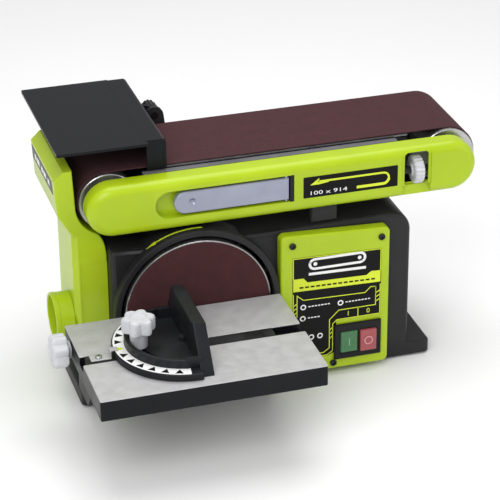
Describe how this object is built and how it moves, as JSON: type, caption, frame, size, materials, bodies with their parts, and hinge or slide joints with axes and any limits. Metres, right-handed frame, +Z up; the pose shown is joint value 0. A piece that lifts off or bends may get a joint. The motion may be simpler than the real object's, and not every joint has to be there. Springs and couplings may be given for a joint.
{
  "type": "belt disc sander",
  "caption": "Bench sander with a tilting sanding belt over a base, a sanding disc in front, a tilting table with a mitre gauge, and a dust chute at the left end.",
  "frame": {"origin": "on the bench, under the middle of the machine's bounding box", "axes": "+X to the right along the sanding belt, +Y to the back along the motor shaft, +Z up"},
  "size_m": [0.4696, 0.356, 0.281],
  "materials": {
    "lime_paint": "smooth lime green paint",
    "lime_plastic": "satin lime green moulded plastic",
    "dark_casting": "dark grey powder-coated casting",
    "black_steel": "satin black painted or blackened steel",
    "abrasive_belt": "brown aluminium oxide grit on cloth",
    "abrasive_disc": "brown aluminium oxide grit on paper",
    "bare_aluminium": "machined aluminium",
    "steel": "plain steel",
    "grey_lever": "blue-grey painted lever",
    "rubber": "matt black rubber",
    "pale_knob": "light grey moulded knob",
    "black_plastic": "black moulded plastic",
    "green_button": "green push button",
    "red_button": "red push button"
  },
  "bodies": {
    "base": {"base_housing": "dark_casting", "foot_left_front": "rubber", "foot_right_front": "rubber", "foot_left_rear": "rubber", "foot_right_rear": "rubber", "disc_guard": "dark_casting", "dust_chute": "lime_plastic", "dust_port": "lime_plastic", "control_panel": "lime_paint", "panel_screw_1": "black_steel", "panel_screw_2": "black_steel", "panel_screw_3": "black_steel", "switch_body": "black_plastic", "motor_stator": "steel", "motor_front_bracket": "bare_aluminium", "motor_rear_bracket": "bare_aluminium", "motor_front_bearing": "steel", "motor_rear_bearing": "steel", "motor_capacitor": "bare_aluminium", "drive_belt": "rubber", "drive_housing": "dark_casting", "drive_cover": "dark_casting", "support_post": "dark_casting", "cord_gland": "rubber", "table_bracket_left": "black_steel", "table_bracket_right": "black_steel"},
    "spindle": {"motor_rotor": "steel", "motor_shaft": "steel", "cooling_fan": "black_plastic", "disc_plate": "bare_aluminium", "sanding_disc": "abrasive_disc", "motor_pulley": "bare_aluminium"},
    "belt_frame": {"belt_frame": "dark_casting", "platen": "steel", "sanding_belt": "abrasive_belt", "drum_front_bearing": "steel", "drum_rear_bearing": "steel", "front_side_cover": "lime_paint", "front_side_plate": "black_steel", "tension_spring": "steel"},
    "drive_drum": {"drive_drum": "bare_aluminium", "drum_shaft": "steel", "drum_pulley": "bare_aluminium"},
    "idler_carriage": {"idler_carriage": "bare_aluminium", "idler_shaft": "steel"},
    "idler_drum": {"idler_drum": "bare_aluminium"},
    "tension_lever": {"tension_lever": "grey_lever"},
    "tracking_knob": {"tracking_knob": "pale_knob"},
    "work_stop": {"work_stop": "black_steel"},
    "work_stop_knob": {"work_stop_knob": "black_plastic"},
    "disc_table": {"disc_table": "bare_aluminium"},
    "table_lock_knob": {"table_lock_knob": "pale_knob"},
    "mitre_gauge": {"mitre_bar": "black_steel", "mitre_pointer": "steel"},
    "mitre_head": {"mitre_head": "black_plastic"},
    "mitre_knob": {"mitre_knob": "pale_knob"},
    "on_button": {"on_button": "green_button"},
    "off_button": {"off_button": "red_button"}
  },
  "joints": [
    {"name": "disc_spin", "type": "hinge", "parent": "base", "child": "spindle", "pos_m": [-0.07477, -0.021, 0.103], "axis": [0, -1, 0], "continuous": true},
    {"name": "belt_frame_tilt", "type": "hinge", "parent": "base", "child": "belt_frame", "pos_m": [-0.15677, 0.067, 0.22], "axis": [0, -1, 0], "range_deg": [0, 90]},
    {"name": "drive_drum_spin", "type": "hinge", "parent": "belt_frame", "child": "drive_drum", "pos_m": [-0.15677, 0.067, 0.22], "axis": [0, -1, 0], "continuous": true},
    {"name": "idler_carriage_slide", "type": "slide", "parent": "belt_frame", "child": "idler_carriage", "axis": [1, 0, 0], "range_m": [-0.0081, 0], "deforming": ["tension_spring"]},
    {"name": "idler_drum_spin", "type": "hinge", "parent": "idler_carriage", "child": "idler_drum", "pos_m": [0.20347, 0.067, 0.22], "axis": [0, -1, 0], "continuous": true},
    {"name": "tension_lever_swing", "type": "hinge", "parent": "belt_frame", "child": "tension_lever", "pos_m": [0.02023, -0.0125, 0.2215], "axis": [0, 0, 1], "range_deg": [0, 90]},
    {"name": "tracking_knob_turn", "type": "hinge", "parent": "belt_frame", "child": "tracking_knob", "pos_m": [0.15423, -0.007, 0.22], "axis": [1, 0, 0], "range_deg": [-180, 180]},
    {"name": "work_stop_swing", "type": "hinge", "parent": "belt_frame", "child": "work_stop", "pos_m": [-0.08027, 0.127, 0.2585], "axis": [0, -1, 0], "range_deg": [-90, 0]},
    {"name": "work_stop_knob_turn", "type": "hinge", "parent": "work_stop", "child": "work_stop_knob", "pos_m": [-0.08027, 0.127, 0.2585], "axis": [0, 1, 0], "range_deg": [0, 180]},
    {"name": "disc_table_tilt", "type": "hinge", "parent": "base", "child": "disc_table", "pos_m": [-0.09477, -0.051, 0.097], "axis": [1, 0, 0], "range_deg": [0, 45]},
    {"name": "table_lock_knob_turn", "type": "hinge", "parent": "base", "child": "table_lock_knob", "pos_m": [-0.21477, -0.051, 0.097], "axis": [-1, 0, 0], "range_deg": [0, 180]},
    {"name": "mitre_gauge_slide", "type": "slide", "parent": "disc_table", "child": "mitre_gauge", "axis": [1, 0, 0], "range_m": [-0.024, 0.1]},
    {"name": "mitre_head_swivel", "type": "hinge", "parent": "mitre_gauge", "child": "mitre_head", "pos_m": [-0.11277, -0.098, 0.109], "axis": [0, 0, 1], "range_deg": [-60, 60]},
    {"name": "mitre_knob_turn", "type": "hinge", "parent": "mitre_gauge", "child": "mitre_knob", "pos_m": [-0.15677, -0.098, 0.109], "axis": [0, 0, 1], "range_deg": [0, 180]},
    {"name": "on_button_press", "type": "slide", "parent": "base", "child": "on_button", "axis": [0, 1, 0], "range_m": [0, 0.003], "stiffness_N_per_m": 300},
    {"name": "off_button_press", "type": "slide", "parent": "base", "child": "off_button", "axis": [0, 1, 0], "range_m": [0, 0.003], "stiffness_N_per_m": 300}
  ],
  "couplings": [
    {"joint": "drive_drum_spin", "follows": "disc_spin", "ratio": 0.54546},
    {"joint": "idler_drum_spin", "follows": "disc_spin", "ratio": 0.54546},
    {"joint": "work_stop_swing", "follows": "belt_frame_tilt", "ratio": -1},
    {"joint": "idler_carriage_slide", "follows": "tension_lever_swing", "m_per_rad": -0.005093}
  ]
}
